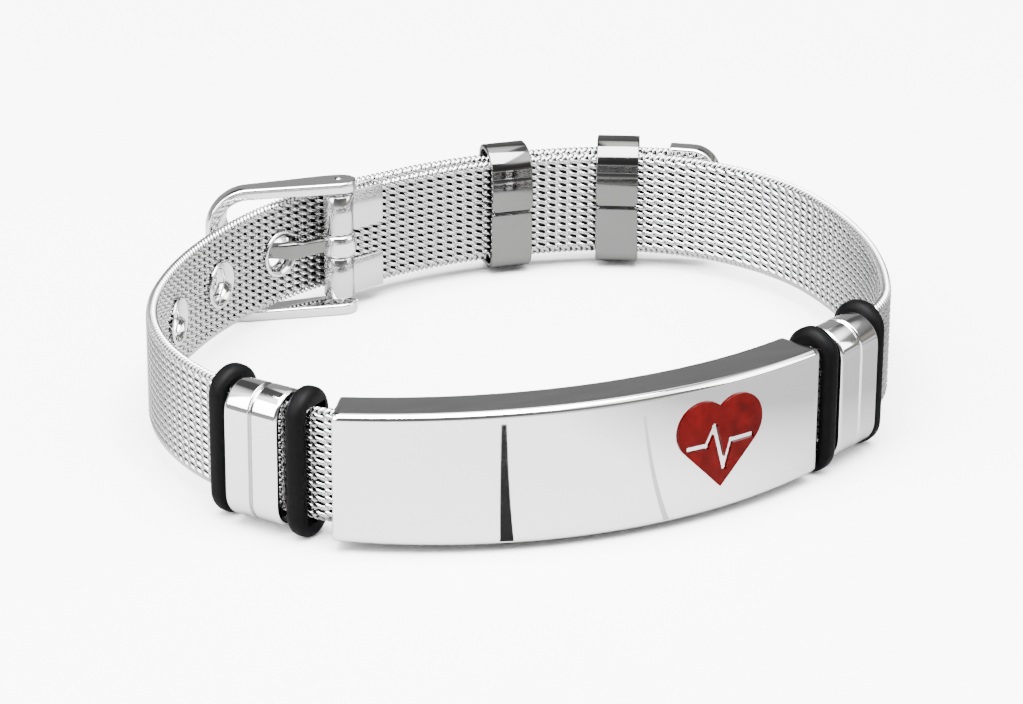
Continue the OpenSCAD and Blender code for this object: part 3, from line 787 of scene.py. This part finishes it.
# two narrow straight paper strips on the table that only polished metal sees: they draw the thin
# dark line and the faint grey line that stand in the plate's front
STRIP_HEIGHT = 0.0001
for name, level, half_width, far_end, near_end in (
        ("black strip", 0.004, 0.0006, (-0.014, -0.065), (-0.0125, -0.031)),
        ("grey strip", 0.14, 0.0003, (0.014, -0.058), (0.0015, -0.0315))):
    paint = matte(name, level)
    paint.node_tree.nodes["Principled BSDF"].inputs["Specular IOR Level"].default_value = 0
    corners = [(x + side * half_width, y, STRIP_HEIGHT) for x, y in (far_end, near_end) for side in (-1, 1)]
    strip = staged(name, corners, [(0, 1, 3, 2)], paint)
    strip.visible_camera = strip.visible_diffuse = strip.visible_shadow = False

world = bpy.data.worlds.new("studio")
bpy.context.scene.world = world
world.use_nodes = True
tree = world.node_tree
where = tree.nodes.new("ShaderNodeTexCoord")
turn = tree.nodes.new("ShaderNodeMapping")
turn.inputs["Rotation"].default_value = (0, 0, ROOM_TURN)
tree.links.new(where.outputs["Generated"], turn.inputs["Vector"])
split = tree.nodes.new("ShaderNodeSeparateXYZ")
tree.links.new(turn.outputs["Vector"], split.inputs["Vector"])
# from the wall behind, over the top, to the wall in front: the angle of (depth, height)
angle = tree.nodes.new("ShaderNodeMath")
angle.operation = "ARCTAN2"
tree.links.new(split.outputs["Z"], angle.inputs[0])
tree.links.new(split.outputs["Y"], angle.inputs[1])
x, z, arch = split.outputs["X"], split.outputs["Z"], angle.outputs["Value"]

room = blend(tree, arch, 0, math.pi, [(0.0, 0.05), (0.2, 0.05), (0.25, 0.4), (0.34, 0.7), (0.52, 0.6),
                                      (0.66, 0.4), (0.74, 0.03), (0.9, 0.02), (0.965, 0.05), (1.0, 0.5)])
back_wall = blend(tree, x, -0.17, 0.17, [(0.0, 0.057), (0.5, 0.054), (1.0, 0.047)])
low_part = blend(tree, arch, 0, math.pi, [(0.0, 1.0), (0.19, 1.0), (0.24, 0.0), (1.0, 0.0)])
room = over(tree, room, back_wall, low_part)
# the dark corners on both sides, between the wall behind and the lamp
corner = tree.nodes.new("ShaderNodeMath")
corner.operation = "MULTIPLY"
sides = blend(tree, x, -0.3, 0.3, [(0.0, 1.0), (0.22, 1.0), (0.34, 0.0), (0.8, 0.0), (0.9, 0.9), (1.0, 0.9)])
band = blend(tree, arch, 0, math.pi, [(0.0, 0.0), (0.12, 0.0), (0.16, 1.0), (0.42, 1.0), (0.47, 0.0)])
tree.links.new(sides, corner.inputs[0])
tree.links.new(band, corner.inputs[1])
room = over(tree, room, (0.012, 0.012, 0.012, 1), corner.outputs["Value"])
left_wall = blend(tree, z, 0, 1, [(0.0, 0.08), (0.2, 0.05), (0.4, 0.03), (0.5, 0.2), (0.7, 0.35), (1.0, 0.6)])
room = over(tree, room, left_wall, blend(tree, x, -0.75, -0.4, [(0.0, 1.0), (1.0, 0.0)]))
right_wall = blend(tree, z, 0, 1, [(0.0, 0.2), (0.1, 0.03), (0.22, (0.06, 0.055, 0.045)), (0.34, 0.02),
                                   (0.55, 0.05), (0.7, 0.8)])
room = over(tree, room, right_wall, blend(tree, x, 0.35, 0.7, [(0.0, 0.0), (1.0, 1.0)]))
tree.links.new(room, tree.nodes["Background"].inputs["Color"])
tree.nodes["Background"].inputs["Strength"].default_value = 7.0

for name, spot, size, power in (
        ("softbox above", (-0.054, -0.14, 0.7), 0.7, 48.0),
        ("softbox left", (-0.6, -0.1, 0.4), 0.5, 12.0),
        ("softbox right", (0.6, -0.3, 0.35), 0.4, 4.0)):
    light = bpy.data.lights.new(name, "AREA")
    light.size = size
    light.energy = power
    lamp = bpy.data.objects.new(name, light)
    bpy.context.scene.collection.objects.link(lamp)
    lamp.location = spot
    aim = np.array([0, 0, 0.005]) - np.array(spot)
    lamp.rotation_euler = Vector(aim).to_track_quat("-Z", "Y").to_euler()


# CAMERA
# The photograph's view: from the left in front, 22 degrees down, with a long lens.
# The aim is the point in the middle of the picture.

TURN_LEFT, PITCH, ROLL = math.radians(21), math.radians(22), math.radians(0.34)
DISTANCE, AIM = 0.346, (0.00181, 0.00583, 0.00145)
FOCAL_PIXELS, PICTURE_WIDTH, SENSOR = 3870, 1023, 36

level = np.array([math.sin(TURN_LEFT), math.cos(TURN_LEFT), 0])
forward = math.cos(PITCH) * level + np.array([0, 0, -math.sin(PITCH)])
right = np.array([math.cos(TURN_LEFT), -math.sin(TURN_LEFT), 0])
up = np.cross(right, forward)
right, up = math.cos(ROLL) * right + math.sin(ROLL) * up, -math.sin(ROLL) * right + math.cos(ROLL) * up
spot = np.array(AIM) - DISTANCE * forward
lens = bpy.data.cameras.new("photo view")
lens.sensor_width = SENSOR
lens.lens = FOCAL_PIXELS / PICTURE_WIDTH * SENSOR
lens.clip_start = 0.01
camera = bpy.data.objects.new("photo view", lens)
bpy.context.scene.collection.objects.link(camera)
rows = [[right[i], up[i], -forward[i], spot[i]] for i in range(3)] + [[0, 0, 0, 1]]
camera.matrix_world = Matrix(rows)
bpy.context.scene.camera = camera
